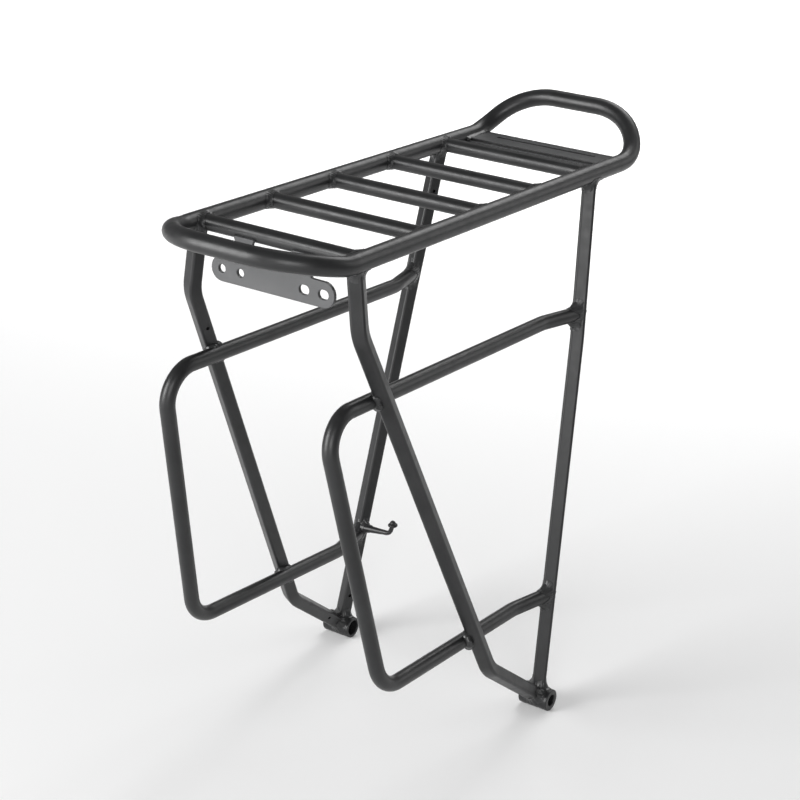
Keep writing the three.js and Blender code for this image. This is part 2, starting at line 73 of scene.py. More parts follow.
# %% [markdown]
# ## Camera
# The view is from the rack's front left, a little above the deck, through a long lens. A long
# lens far away keeps the tubes nearly parallel. A camera can be aimed at a target, but this one
# is turned by two angles and a small roll, so that each can be read and changed on its own.

# %% Camera
CAMERA_PLACE = Vector((662.6, -866.8, 352.0)) * MM
CAMERA_AZIMUTH = math.radians(33.287)
CAMERA_ELEVATION = math.radians(21.199)
CAMERA_ROLL = math.radians(2.812)
CAMERA_LENS = 88.12  # millimetres, as the sensor's width is
SENSOR_WIDTH = 36


def add_camera():
    turn = (
        Matrix.Rotation(CAMERA_AZIMUTH, 4, "Z")
        @ Matrix.Rotation(math.pi / 2 - CAMERA_ELEVATION, 4, "X")
        @ Matrix.Rotation(CAMERA_ROLL, 4, "Z")
    )
    bpy.ops.object.camera_add()
    camera = bpy.context.object
    camera.matrix_world = Matrix.Translation(CAMERA_PLACE) @ turn
    camera.data.lens = CAMERA_LENS
    camera.data.sensor_width = SENSOR_WIDTH
    bpy.context.scene.camera = camera
    return camera


camera = add_camera()
print("camera looks along", [round(v, 3) for v in camera.matrix_world.col[2].xyz * -1])

# %% [markdown]
# ## Sizes
# What the frame's boxes can tell is read from them: the height of the deck, and where the
# crossbars and the feet are. Radii and bends can't be read from a box, so they are named once,
# each where it is first needed. A spread is measured outwards from a rail's centre, and a drop
# down from it.

# %% Sizes
RAIL_R = 6 * MM
BAR_R = 5 * MM
RAIL_X = 60 * MM
RAIL_Z = sum(corner.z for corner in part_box("crossbar_1")) / 2
BAR_Y = [sum(corner.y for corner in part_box(f"crossbar_{i + 1}")) / 2 for i in range(5)]
LEG_WIDTH = 9.6 * MM
LEG_DEPTH = 8.8 * MM
LEG_CORNER = 1.9 * MM
SIDES = {"left": 1, "right": -1}


def place(side, spread, y, drop):
    return Vector((side * (RAIL_X + spread * MM), y * MM, RAIL_Z - drop * MM))


def foot_at(side):
    low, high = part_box("foot_boss_left" if side > 0 else "foot_boss_right")
    return (low + high) / 2


print("rails at x", round(RAIL_X, 4), "z", round(RAIL_Z, 4), "feet at", foot_at(1)[:])

# %% [markdown]
# ## Bending a tube
# A real tube is bent round a former: a straight run, then a turn at one radius, then the next
# run. The same three steps work in edit mode. A flat section is drawn across the start of the
# tube, extruded along each straight run and spun round the centre of each bend. A curve with a
# bevel would be quicker, but a spun bend has an exact radius, and a flat-sided section keeps
# its faces turned the right way.

# %% Helpers for modelling
def deselect_all():
    if bpy.context.object and bpy.context.object.mode != "OBJECT":
        bpy.ops.object.mode_set(mode="OBJECT")
    bpy.ops.object.select_all(action="DESELECT")


def only(piece):
    deselect_all()
    piece.select_set(True)
    bpy.context.view_layer.objects.active = piece


def apply_place(piece):
    only(piece)
    bpy.ops.object.transform_apply(location=True, rotation=True, scale=True)


def close_seams(piece, distance=0.002 * MM):
    only(piece)
    bpy.ops.object.mode_set(mode="EDIT")
    bpy.ops.mesh.select_all(action="SELECT")
    bpy.ops.mesh.remove_doubles(threshold=distance)
    bpy.ops.mesh.normals_make_consistent(inside=False)
    bpy.ops.object.mode_set(mode="OBJECT")


def apply_modifier(piece, kind, **settings):
    only(piece)
    modifier = piece.modifiers.new(kind.lower(), kind)
    for name, value in settings.items():
        setattr(modifier, name, value)
    bpy.ops.object.modifier_apply(modifier=modifier.name)


def join(pieces, name):
    deselect_all()
    for piece in pieces:
        piece.select_set(True)
    bpy.context.view_layer.objects.active = pieces[0]
    bpy.ops.object.join()
    joined = bpy.context.object
    joined.name = joined.data.name = name
    return joined


def smooth(piece, degrees=35):
    only(piece)
    bpy.ops.object.shade_smooth_by_angle(angle=math.radians(degrees))


def crisp_flats(piece, degrees=30):
    """Smooth over the rounded corners only, so that the flats stay flat in the light."""
    smooth(piece, degrees)
    apply_modifier(piece, "WEIGHTED_NORMAL", keep_sharp=True, weight=90)


# %% Sections and bends
def across(start, along, facing):
    """Where a section stands: its Z runs along the tube and its X looks towards facing."""
    z = along.normalized()
    x = (facing - z * facing.dot(z)).normalized()
    turn = Matrix((x, z.cross(x), z)).transposed().to_4x4()
    return Matrix.Translation(start) @ turn


def round_section(radius, sides=40):
    def draw(at, capped=True):
        fill = "NGON" if capped else "NOTHING"
        bpy.ops.mesh.primitive_circle_add(vertices=sides, radius=radius, fill_type=fill)
        piece = bpy.context.object
        piece.matrix_world = at
        return piece
    return draw


def leg_section(at, capped=True):
    bpy.ops.mesh.primitive_plane_add(size=1)
    piece = bpy.context.object
    bpy.ops.object.mode_set(mode="EDIT")
    bpy.ops.transform.resize(value=(LEG_DEPTH, LEG_WIDTH, 1))
    bpy.ops.mesh.bevel(offset=LEG_CORNER, segments=6, affect="VERTICES")
    bpy.ops.object.mode_set(mode="OBJECT")
    piece.matrix_world = at
    return piece


def bend_of(before, corner, after, radius):
    """A bend's start, centre, axis and angle, and the point where the next run starts."""
    back = (before - corner).normalized()
    ahead = (after - corner).normalized()
    half = back.angle(ahead) / 2
    centre = corner + (back + ahead).normalized() * radius / math.sin(half)
    start = corner + back * radius / math.tan(half)
    end = corner + ahead * radius / math.tan(half)
    return start, centre, back.cross(ahead) * -1, math.pi - 2 * half, end


def bent_tube(name, draw_section, corners, facing, capped=True, step=math.radians(5)):
    """corners are (point, bend radius) pairs; the first and last have no radius."""
    points = [point for point, _ in corners]
    deselect_all()
    piece = draw_section(across(points[0], points[1] - points[0], facing), capped)
    piece.name = piece.data.name = name
    apply_place(piece)
    bpy.ops.object.mode_set(mode="EDIT")
    bpy.ops.mesh.select_all(action="SELECT")
    here = points[0]
    for before, (corner, radius), after in zip(points, corners[1:-1], points[2:]):
        start, centre, axis, angle, end = bend_of(before, corner, after, radius)
        bpy.ops.mesh.extrude_region_move(TRANSFORM_OT_translate={"value": start - here})
        steps = max(2, round(angle / step))
        bpy.ops.mesh.spin(steps=steps, angle=-angle, center=centre, axis=axis.normalized())
        here = end
    bpy.ops.mesh.extrude_region_move(TRANSFORM_OT_translate={"value": points[-1] - here})
    bpy.ops.object.mode_set(mode="OBJECT")
    close_seams(piece)
    return piece


def cut_rings(piece, places, along):
    """Adds rings of points across the piece at these places, for a fold or a taper to move."""
    only(piece)
    bpy.ops.object.mode_set(mode="EDIT")
    for at in places:
        bpy.ops.mesh.select_all(action="SELECT")
        bpy.ops.mesh.bisect(plane_co=along * at, plane_no=along)
    bpy.ops.object.mode_set(mode="OBJECT")


def gap_to_frame(piece, node):
    """How far the piece's box is from the frame's, at the worst corner, in millimetres."""
    low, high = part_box(node)
    corners = [piece.matrix_world @ Vector(c) for c in piece.bound_box]
    new_low = Vector(min(c[k] for c in corners) for k in range(3))
    new_high = Vector(max(c[k] for c in corners) for k in range(3))
    return round(max(*map(abs, new_low - low), *map(abs, new_high - high)) / MM, 2)


# %% [markdown]
# ## Powder coat
# The frame is sprayed with a charcoal powder that melts into a thick, slightly satin skin. Seen
# close it has a fine orange peel, a trace of colour variation and a few dull marks. It is a
# little glossier and paler on the weld beads. The two sheet-metal plates are paler again, as a
# painted reflection of the light off their flats.
# An image of paint could be wrapped round each piece, but it would show a seam along every
# tube, so one Principled shader is driven by noise. The noise reads Object coordinates, which
# are the same all over the rack, so the peel runs on from one piece to the next.

# %% Finishes
COAT_DARK = (0.0095, 0.0097, 0.0102, 1)
COAT_PALE = (0.0165, 0.0168, 0.0175, 1)
WELD_DARK = (0.015, 0.0153, 0.0158, 1)
WELD_PALE = (0.034, 0.0345, 0.0355, 1)
# The sheet's two colours are paler than the frame's: a painted reflection of the light off the
# plates' flats.
SHEET_PAINTED_REFLECTION_DARK = (0.060, 0.061, 0.063, 1)
SHEET_PAINTED_REFLECTION_PALE = (0.076, 0.077, 0.079, 1)
PEEL_DEPTH = 0.05 * MM


def noise(tree, scale, detail, roughness):
    node = tree.nodes.new("ShaderNodeTexNoise")
    node.inputs["Scale"].default_value = scale
    node.inputs["Detail"].default_value = detail
    node.inputs["Roughness"].default_value = roughness
    coordinates = tree.nodes.get("Places") or tree.nodes.new("ShaderNodeTexCoord")
    coordinates.name = "Places"
    tree.links.new(coordinates.outputs["Object"], node.inputs["Vector"])
    return node


def stretch(tree, source, low, high, out_low, out_high):
    """Stretches the part of a pattern between low and high over the new range."""
    node = tree.nodes.new("ShaderNodeMapRange")
    node.inputs["From Min"].default_value = low
    node.inputs["From Max"].default_value = high
    node.inputs["To Min"].default_value = out_low
    node.inputs["To Max"].default_value = out_high
    tree.links.new(source, node.inputs["Value"])
    return node.outputs["Result"]


def powder_coat(name, dark, pale, roughness, peel, peel_scale):
    material = bpy.data.materials.new(name)
    material.use_nodes = True
    tree = material.node_tree
    shader = tree.nodes["Principled BSDF"]
    shader.inputs["Metallic"].default_value = 0.0
    shader.inputs["Specular IOR Level"].default_value = 0.45
    tone = tree.nodes.new("ShaderNodeMix")
    tone.data_type = "RGBA"
    tone.inputs["A"].default_value = dark
    tone.inputs["B"].default_value = pale
    clouds = noise(tree, scale=38, detail=5, roughness=0.6)
    share = stretch(tree, clouds.outputs["Fac"], 0.35, 0.68, 0, 1)
    tree.links.new(share, tone.inputs["Factor"])
    tree.links.new(tone.outputs["Result"], shader.inputs["Base Color"])
    marks = noise(tree, scale=170, detail=3, roughness=0.55)
    dullness = stretch(tree, marks.outputs["Fac"], 0.3, 0.7, *roughness)
    tree.links.new(dullness, shader.inputs["Roughness"])
    grains = noise(tree, peel_scale, detail=2, roughness=0.45)
    bump = tree.nodes.new("ShaderNodeBump")
    bump.inputs["Strength"].default_value = peel
    bump.inputs["Distance"].default_value = PEEL_DEPTH
    tree.links.new(grains.outputs["Fac"], bump.inputs["Height"])
    tree.links.new(bump.outputs["Normal"], shader.inputs["Normal"])
    return material


FINISHES = {
    "frame_coat": powder_coat("charcoal_coat", COAT_DARK, COAT_PALE, (0.32, 0.42), 0.5, 1500),
    "weld_beads": powder_coat("charcoal_coat_on_welds", WELD_DARK, WELD_PALE, (0.25, 0.38), 0.8, 900),
}
# The plates' coat has a painted reflection in its paler colour.
SHEET_COAT_WITH_PAINTED_REFLECTION = powder_coat("charcoal_coat_with_painted_reflection", SHEET_PAINTED_REFLECTION_DARK, SHEET_PAINTED_REFLECTION_PALE, (0.36, 0.46), 0.4, 1500)
for node in frame["record"]["subparts"]:
    cad_node = frame["nodes"][node["node"]]
    cad_node.data.materials.clear()
    cad_node.data.materials.append(FINISHES[node["material_slot"]])
print("finishes:", sorted(FINISHES))


def finish_piece(piece, slot, *nodes, coat=None):
    """Paints a piece, fixes it to the rack, and lets it stand for the frame's own nodes."""
    piece.data.materials.clear()
    piece.data.materials.append(coat or FINISHES[slot])
    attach(piece, "root")
    if nodes:
        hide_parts(*nodes)
        print(piece.name, len(piece.data.polygons), "faces")
    return piece


# %% [markdown]
# ## Top hoop
# The hoop is one tube, bent flat first and folded afterwards: at the front its end turns up by
# ten degrees, and at the back by forty-five, for the loop that a hand lifts the bicycle by. The
# fold crosses the round corners, so no single bend makes that shape. The flat outline is made
# with spins, and the fold then moves each ring of points on the arc that a bending brake gives.

# %% Top hoop
NOSE = {"beyond": 16.2, "length": 37.7, "angle": 10.4, "fold_r": 14, "corner_r": 45.5}
LOOP = {"beyond": 56.5, "length": 35.1, "angle": 45.5, "fold_r": 36.3, "corner_r": 42.8}
FIRST_RING = 25 * MM  # before the loop's fold, where the straight rail has no points of its own
RING_STEP = 3.6 * MM
RING_COUNT = 6
HOOP_SIDES = 48


def fold_up(piece, fold_y, end, direction):
    """Moves what lies past the fold on to an arc, and then on to a straight slope."""
    angle = math.radians(end["angle"])
    radius = end["fold_r"] * MM
    start = fold_y * direction - radius * math.tan(angle / 2)
    for vertex in piece.data.vertices:
        past = vertex.co.y * direction - start
        if past <= 0:
            continue
        height = vertex.co.z - RAIL_Z
        bent = min(past / radius, angle)
        straight = max(past - radius * angle, 0)
        inner = radius - height
        vertex.co.y = direction * (start + inner * math.sin(bent) + straight * math.cos(angle))
        vertex.co.z = RAIL_Z + radius - inner * math.cos(bent) + straight * math.sin(angle)


def top_hoop():
    nose_fold = BAR_Y[0] - NOSE["beyond"] * MM
    loop_fold = BAR_Y[-1] + LOOP["beyond"] * MM
    front = nose_fold - NOSE["length"] * MM
    rear = loop_fold + LOOP["length"] * MM
    middle = Vector((RAIL_X, 0.5 * (BAR_Y[0] + BAR_Y[-1]), RAIL_Z))
    corners = [
        (middle, None),
        (Vector((RAIL_X, rear, RAIL_Z)), LOOP["corner_r"] * MM),
        (Vector((-RAIL_X, rear, RAIL_Z)), LOOP["corner_r"] * MM),
        (Vector((-RAIL_X, front, RAIL_Z)), NOSE["corner_r"] * MM),
        (Vector((RAIL_X, front, RAIL_Z)), NOSE["corner_r"] * MM),
        (middle, None),
    ]
    section = round_section(RAIL_R, HOOP_SIDES)
    hoop = bent_tube("top_hoop_tube", section, corners, Vector((0, 0, 1)), capped=False)
    rings = [loop_fold - FIRST_RING + k * RING_STEP for k in range(RING_COUNT)]
    cut_rings(hoop, rings, Vector((0, 1, 0)))
    fold_up(hoop, loop_fold, LOOP, 1)
    fold_up(hoop, nose_fold, NOSE, -1)
    smooth(hoop)
    return hoop


hoop = finish_piece(top_hoop(), "frame_coat", "top_hoop")
print("top hoop is within", gap_to_frame(hoop, "top_hoop"), "mm of the frame")

# %% [markdown]
# ## Crossbars
# Five straight tubes lie between the rails. A fitter cuts each end hollow, to match the rail it
# meets, and that could be done here with a Boolean. But the ends stop inside the rails' walls,
# where the weld hides them, so a plain cylinder with a face at each end is enough.

# %% Crossbars
for number, y in enumerate(BAR_Y, 1):
    end = Vector((RAIL_X - RAIL_R / 2, y, RAIL_Z))
    start = Vector((-end.x, y, RAIL_Z))
    run = [(start, None), (end, None)]
    bar = bent_tube(f"crossbar_{number}_tube", round_section(BAR_R), run, Vector((0, 0, 1)))
    smooth(bar)
    finish_piece(bar, "frame_coat", f"crossbar_{number}")

# %% [markdown]
# ## Legs
# Each leg is a flat-sided tube with rounded corners. The front leg has a knee under the rail and
# a heel above the foot, and the rear leg bows slightly. Small holes near the welds let hot air
# out while the frame is welded. A dark dot on the paint would do from afar, but a Boolean with a
# small cylinder leaves a real hole, as a drill does.

# %% Legs
FRONT_TURN = math.radians(20)
REAR_TURN = math.radians(28)
LEG_TOP_DROP = 3
FRONT_LEG_TOP = {"spread": -2.6, "y": 2.4, "drop": LEG_TOP_DROP}
KNEE = {"spread": 2.3, "y": 2.6, "drop": 43.3}
KNEE_R = 28 * MM
HEEL = {"out": -3, "back": -66.8, "up": 49.3}  # from the foot
HEEL_R = 30 * MM
REAR_LEG_TOP = {"spread": 0.2, "y": BAR_Y[-1] / MM - 0.9, "drop": LEG_TOP_DROP}
BOW = {"out": 1.7, "back": 1.7, "drop": 110}  # from a straight line
BOW_R = 260 * MM
END_ABOVE_AXIS = 6.2 * MM
VENT_R = 1.25 * MM
VENT_DEPTH = 6 * MM
LEG_BEND_STEP = math.radians(3)


def above_boss(before, foot):
    """A leg stops in the boss's wall, so that the bolt's bore stays open."""
    return foot + (before - foot).normalized() * END_ABOVE_AXIS


def face_of(side, turn):
    """The way the front face of a leg looks: forwards, and turned outwards a little."""
    return Vector((side * math.sin(turn), -math.cos(turn), 0))


def front_leg_corners(side):
    foot = foot_at(side)
    heel = foot + Vector((side * HEEL["out"], HEEL["back"], HEEL["up"])) * MM
    return [
        (place(side, **FRONT_LEG_TOP), None),
        (place(side, **KNEE), KNEE_R),
        (heel, HEEL_R),
        (foot, None),
    ]


def rear_leg_corners(side):
    foot = foot_at(side)
    top = place(side, **REAR_LEG_TOP)
    share = (top.z - (RAIL_Z - BOW["drop"] * MM)) / (top.z - foot.z)
    bow = top.lerp(foot, share) + Vector((side * BOW["out"], BOW["back"], 0)) * MM
    return [(top, None), (bow, BOW_R), (foot, None)]


def at_height(points, z):
    for above, below in zip(points, points[1:]):
        if below.z <= z <= above.z:
            return above.lerp(below, (above.z - z) / (above.z - below.z))
    raise ValueError("no point of the leg is that high")


def drill(piece, at, direction, radius, depth):
    deselect_all()
    bpy.ops.mesh.primitive_cylinder_add(vertices=32, radius=radius, depth=depth)
    cutter = bpy.context.object
    cutter.matrix_world = across(at, direction, Vector((0, 0, 1)))
    apply_place(cutter)
    apply_modifier(piece, "BOOLEAN", operation="DIFFERENCE", solver="EXACT", object=cutter)
    bpy.data.objects.remove(cutter)


LEGS = {
    "front_leg": (front_leg_corners, FRONT_TURN, [70.9, 345.2]),
    "rear_leg": (rear_leg_corners, REAR_TURN, [32.8, 337.1]),
}
for kind, (corners_of, turn, vents) in LEGS.items():
    for label, side in SIDES.items():
        corners = corners_of(side)
        facing = face_of(side, turn)
        corners[-1] = (above_boss(corners[-2][0], corners[-1][0]), None)
        leg = bent_tube(f"{kind}_{label}_tube", leg_section, corners, facing, step=LEG_BEND_STEP)
        inward = facing.cross(Vector((0, 0, side)))
        for drop in vents:
            on_axis = at_height([point for point, _ in corners], RAIL_Z - drop * MM)
            drill(leg, on_axis + inward * LEG_WIDTH / 2, inward, VENT_R, VENT_DEPTH)
        crisp_flats(leg)
        finish_piece(leg, "frame_coat", f"{kind}_{label}")
        print(leg.name, "is within", gap_to_frame(leg, f"{kind}_{label}"), "mm of the frame")

# %% [markdown]
# ## Side hoops
# A thinner tube runs forward from the rear leg, round the front and back again lower down, and
# keeps a bag off the wheel. It passes inside the front leg, where it is welded at both
# crossings, and each end turns again to meet the rear leg. Each run's corners are worked out
# from the legs, and not placed by eye, so that the tubes really touch where they are welded.
# The ends stop inside the leg, so there a hoop's box may differ from the frame's by 2 mm.

# %% Side hoops
HOOP_INSIDE_LEG = 6.2 * MM
UPPER_RUN_BELOW_DECK = 89 * MM
LOWER_RUN_ABOVE_FOOT = 81.4 * MM
# The front corner, how far the run falls to the rear, where it turns, and how it toes outwards.
UPPER_RUN = {"front_y": -26.9, "falls": 3.7, "turn_ahead": 35.3, "toe": 0}
LOWER_RUN = {"front_y": 23, "falls": 8, "turn_ahead": 36.9, "toe": 1.1}
TOE_BY_THE_TURN = 1.6
UPPER_FRONT_R = 20 * MM
LOWER_FRONT_R = 25.5 * MM
TURN_R = 30 * MM


def hoop_run(side, z, run):
    """A run's front corner, the place where it turns, and its end in the rear leg."""
    crossing = at_height([point for point, _ in front_leg_corners(side)], z)
    front_x = crossing.x - side * (HOOP_INSIDE_LEG - run["toe"] * MM)
    front = Vector((front_x, run["front_y"] * MM, z))
    rear_z = z - run["falls"] * MM
    end = at_height([point for point, _ in rear_leg_corners(side)], rear_z)
    turn_x = front.x - side * TOE_BY_THE_TURN * run["toe"] * MM
    return front, Vector((turn_x, end.y - run["turn_ahead"] * MM, rear_z)), end


def side_hoop_corners(side):
    upper = hoop_run(side, RAIL_Z - UPPER_RUN_BELOW_DECK, UPPER_RUN)
    lower = hoop_run(side, foot_at(side).z + LOWER_RUN_ABOVE_FOOT, LOWER_RUN)
    upper_front, upper_turn, upper_end = upper
    lower_front, lower_turn, lower_end = lower
    return [
        (upper_end, None), (upper_turn, TURN_R), (upper_front, UPPER_FRONT_R),
        (lower_front, LOWER_FRONT_R), (lower_turn, TURN_R), (lower_end, None),
    ]


for label, side in SIDES.items():
    corners = side_hoop_corners(side)
    guard = bent_tube(f"side_hoop_{label}_tube", round_section(BAR_R), corners, Vector((1, 0, 0)))
    smooth(guard)
    finish_piece(guard, "frame_coat", f"side_hoop_{label}")
    print(guard.name, "is within", gap_to_frame(guard, f"side_hoop_{label}"), "mm of the frame")

# %% [markdown]
# ## Feet
# A foot is a short turned boss. A bolt goes through its bore from outside, and a wider socket
# on the inside fits over the eyelet of the bicycle. A Boolean could cut both holes, but leaves
# long thin faces round their rims. So it is made as on a lathe: a cylinder whose end faces are
# inset and pushed in until the two holes meet.

# %% Feet
BOSS_R = 7.8 * MM
BORE_R = 4.05 * MM
SOCKET_R = 5.6 * MM
SOCKET_DEPTH = 9 * MM
RIM_SOFTNESS = 0.7 * MM


def select_faces(piece, test):
    bpy.ops.mesh.select_all(action="DESELECT")
    bpy.ops.object.mode_set(mode="OBJECT")
    for face in piece.data.polygons:
        face.select = test(face)
    bpy.ops.object.mode_set(mode="EDIT")
    bpy.ops.mesh.select_mode(type="FACE")


def foot_boss(label, side):
    low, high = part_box(f"foot_boss_{label}")
    length = high.x - low.x
    deselect_all()
    bpy.ops.mesh.primitive_cylinder_add(vertices=56, radius=BOSS_R, depth=length)
    boss = bpy.context.object
    boss.name = boss.data.name = f"foot_boss_{label}_turned"
    bpy.ops.object.mode_set(mode="EDIT")
    holes = [(1, BORE_R, length - SOCKET_DEPTH), (-1, SOCKET_R, SOCKET_DEPTH)]
    for end, radius, depth in holes:
        select_faces(boss, lambda face, end=end: face.normal.z * end > 0.9)
        bpy.ops.mesh.inset(thickness=BOSS_R - radius)
        bpy.ops.mesh.extrude_region_move(TRANSFORM_OT_translate={"value": (0, 0, -end * depth)})
    bpy.ops.object.mode_set(mode="OBJECT")
    open_through(boss, SOCKET_DEPTH - length / 2)
    edges = {"limit_method": "ANGLE", "angle_limit": math.radians(40)}
    apply_modifier(boss, "BEVEL", width=RIM_SOFTNESS, segments=4, **edges)
    boss.matrix_world = across(foot_at(side), Vector((side, 0, 0)), Vector((0, 0, 1)))
    apply_place(boss)
    crisp_flats(boss)
    return boss


def open_through(boss, z):
    """Removes the two floors that meet at this height and joins the rims they leave."""
    def is_floor(face):
        return abs(face.center.z - z) < 0.01 * MM and face.center.xy.length < 0.1 * MM

    bpy.ops.object.mode_set(mode="EDIT")
    select_faces(boss, is_floor)
    bpy.ops.mesh.delete(type="FACE")
    bpy.ops.mesh.select_mode(type="EDGE")
    bpy.ops.mesh.select_all(action="DESELECT")
    bpy.ops.mesh.select_non_manifold(extend=False)
    bpy.ops.mesh.bridge_edge_loops()
    bpy.ops.object.mode_set(mode="OBJECT")
    close_seams(boss)


for label, side in SIDES.items():
    finish_piece(foot_boss(label, side), "frame_coat", f"foot_boss_{label}")

# %% [markdown]
# ## Plates
# The upright plate at the front bolts to struts from the bicycle's seat stays. It is laser cut:
# two round holes, two elongated ones and two tabs up to the first crossbar. The lamp plate
# behind the last crossbar is folded: a flat top with one long slot, and a narrow lip along its
# lower front edge. Holes can be cut with Booleans, but a flat curve draws such an outline
# better, because each hole is one more closed line in it, and its bevel gives the softened edge
# that the powder leaves. The cut edges and hole walls keep the frame's darker coat as painted
# shade, against the flats' paler coat with its painted reflection, so the holes show dark.

# %% Plates from outlines
EDGE_SOFTNESS = 0.35 * MM


def arc(x, y, radius, start, end, steps=10):
    angles = [math.radians(start + (end - start) * k / steps) for k in range(steps + 1)]
    return [(x + radius * math.cos(a), y + radius * math.sin(a)) for a in angles]


def slot_outline(x, y, half_run, radius):
    return arc(x + half_run, y, radius, -90, 90) + arc(x - half_run, y, radius, 90, 270)


def cut_plate(name, outlines, thickness, at):
    """Outlines in millimetres, the first the plate's own and the others its holes."""
    drawing = bpy.data.curves.new(name, "CURVE")
    drawing.dimensions = "2D"
    drawing.fill_mode = "BOTH"
    drawing.extrude = thickness / 2 - EDGE_SOFTNESS
    drawing.bevel_depth = EDGE_SOFTNESS
    drawing.bevel_resolution = 3
    drawing.offset = -EDGE_SOFTNESS
    for outline in outlines:
        line = drawing.splines.new("POLY")
        line.points.add(len(outline) - 1)
        line.use_cyclic_u = True
        for point, (x, y) in zip(line.points, outline):
            point.co = (x * MM, y * MM, 0, 1)
    piece = bpy.data.objects.new(name, drawing)
    bpy.context.scene.collection.objects.link(piece)
    only(piece)
    bpy.ops.object.convert(target="MESH")
    piece = bpy.context.object
    piece.matrix_world = at
    apply_place(piece)
    close_seams(piece, 0.005 * MM)
    crisp_flats(piece, 40)
    return piece


# %% Front plate
PLATE_THICK = 2.5 * MM
PLATE_END_R = 8
OUTER_HOLES = 37.3
INNER_HOLES = 23.4
ROUND_HOLE_R = 2.65
LONG_HOLE_R = 3
LONG_HOLE_HALF_RUN = 0.75
TAB_INNER = 15
TAB_OUTER = 28
TAB_TOP = 22
TAB_FLARE = 1.2
TAB_FLARE_HEIGHT = 3
LEFT_ROOT_R = 1.3
RIGHT_ROOT_R = 2


def front_plate():
    outline = arc(OUTER_HOLES, 0, PLATE_END_R, -90, 78)
    flare_from = TAB_TOP - TAB_FLARE_HEIGHT
    for left, right in ((TAB_OUTER, TAB_INNER), (-TAB_INNER, -TAB_OUTER)):
        outline += arc(left + LEFT_ROOT_R, PLATE_END_R + LEFT_ROOT_R, LEFT_ROOT_R, 270, 180, 6)
        outline += [(left, flare_from), (left + TAB_FLARE, TAB_TOP)]
        outline += [(right - TAB_FLARE, TAB_TOP), (right, flare_from)]
        outline += arc(right - RIGHT_ROOT_R, PLATE_END_R + RIGHT_ROOT_R, RIGHT_ROOT_R, 0, -90, 6)
    outline += arc(-OUTER_HOLES, 0, PLATE_END_R, 102, 270)
    holes = [slot_outline(x, 0, LONG_HOLE_HALF_RUN, LONG_HOLE_R) for x in (INNER_HOLES, OUTER_HOLES)]
    holes += [arc(-x, 0, ROUND_HOLE_R, 0, 345, 23) for x in (INNER_HOLES, OUTER_HOLES)]
    upright = Matrix.Rotation(math.pi / 2, 4, "X")
    behind_origin = Matrix.Translation((0, PLATE_THICK / 2, 0))
    return cut_plate("front_plate_cut", [outline, *holes], PLATE_THICK, behind_origin @ upright)


def paint_shade_on_cut_edges(piece, flat_axis):
    """Cut edges and hole walls keep the frame's darker coat as painted shade in the holes; the
    sheet's flats keep the paler coat with its painted reflection.
    """
    piece.data.materials.append(FINISHES["frame_coat"])
    for face in piece.data.polygons:
        if abs(face.normal[flat_axis]) < 0.5:
            face.material_index = 1


# Painted on this plate: a reflection in the flats' paler coat, and shade on the cut edges and in the
# holes.
plate = finish_piece(front_plate(), "frame_coat", "front_plate", coat=SHEET_COAT_WITH_PAINTED_REFLECTION)
paint_shade_on_cut_edges(plate, 1)
print("front plate is within", gap_to_frame(plate, "front_plate"), "mm of the frame")

# %% Lamp plate
LIP_DEPTH = 3.2
LIP_OVERLAP = 2
LIP_THICK = 1.1 * MM
LAMP_PLATE_REACH = RAIL_X / MM - 2  # its ends are hidden in the rails
SLOT_FROM_REAR = 9.5
SLOT_HALF_RUN = 37.7
SLOT_R = 2.1


def strip_outline(front, rear):
    reach = LAMP_PLATE_REACH
    return [(-reach, front), (reach, front), (reach, rear), (-reach, rear)]


def lamp_plate():
    low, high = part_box("lamp_plate")
    front, rear = low.y / MM, high.y / MM
    top_outline = strip_outline(front + LIP_DEPTH, rear)
    slot = slot_outline(0, rear - SLOT_FROM_REAR, SLOT_HALF_RUN, SLOT_R)
    middle = Matrix.Translation((0, 0, (low.z + high.z) / 2))
    top = cut_plate("lamp_plate_folded", [top_outline, slot], high.z - low.z, middle)
    lip_outline = strip_outline(front, front + LIP_DEPTH + LIP_OVERLAP)
    below = Matrix.Translation((0, 0, low.z + LIP_THICK / 2))
    lip = cut_plate("lamp_plate_lip", [lip_outline], LIP_THICK, below)
    return join([top, lip], "lamp_plate_folded")


# Painted on this plate: a reflection in the flats' paler coat, and shade on the cut edges and in the
# slot.
top_sheet = finish_piece(lamp_plate(), "frame_coat", "lamp_plate", coat=SHEET_COAT_WITH_PAINTED_REFLECTION)
paint_shade_on_cut_edges(top_sheet, 2)

# %% [markdown]
# ## Cord hook
# A short rod points at the wheel from the right rear leg and turns up into a knob, for an
# elastic cord. It could be a curve with a radius for each of its points, but then its bend would
# be only as exact as the curve's handles. So it is bent like the tubes, given rings of points
# along its run, and then thinned ring by ring towards the tip. The knob is a flattened ball with
# a small one on top, melted together by a voxel remesh.

# %% Cord hook
HOOK_ROOT_R = 3.0 * MM
HOOK_TIP_R = 1.6 * MM
HOOK_ABOVE_HOOP_END = 4.5 * MM
HOOK_ROOT = Vector((2.5, -3.5, 0)) * MM  # from the leg's middle
HOOK_RUN = Vector((25.5, 0, 2.5)) * MM
HOOK_RISE = Vector((2.5, 0, 8)) * MM
HOOK_BEND_R = 4.5 * MM
NEAR_THE_BEND = 4 * MM
TAPER_STEPS = 7


def hook_points():
    side = SIDES["right"]
    leg = [point for point, _ in rear_leg_corners(side)]
    hoop_end = side_hoop_corners(side)[-1][0]
    root = at_height(leg, hoop_end.z + HOOK_ABOVE_HOOP_END) + HOOK_ROOT
    elbow = root + HOOK_RUN
    return root, elbow, elbow + HOOK_RISE


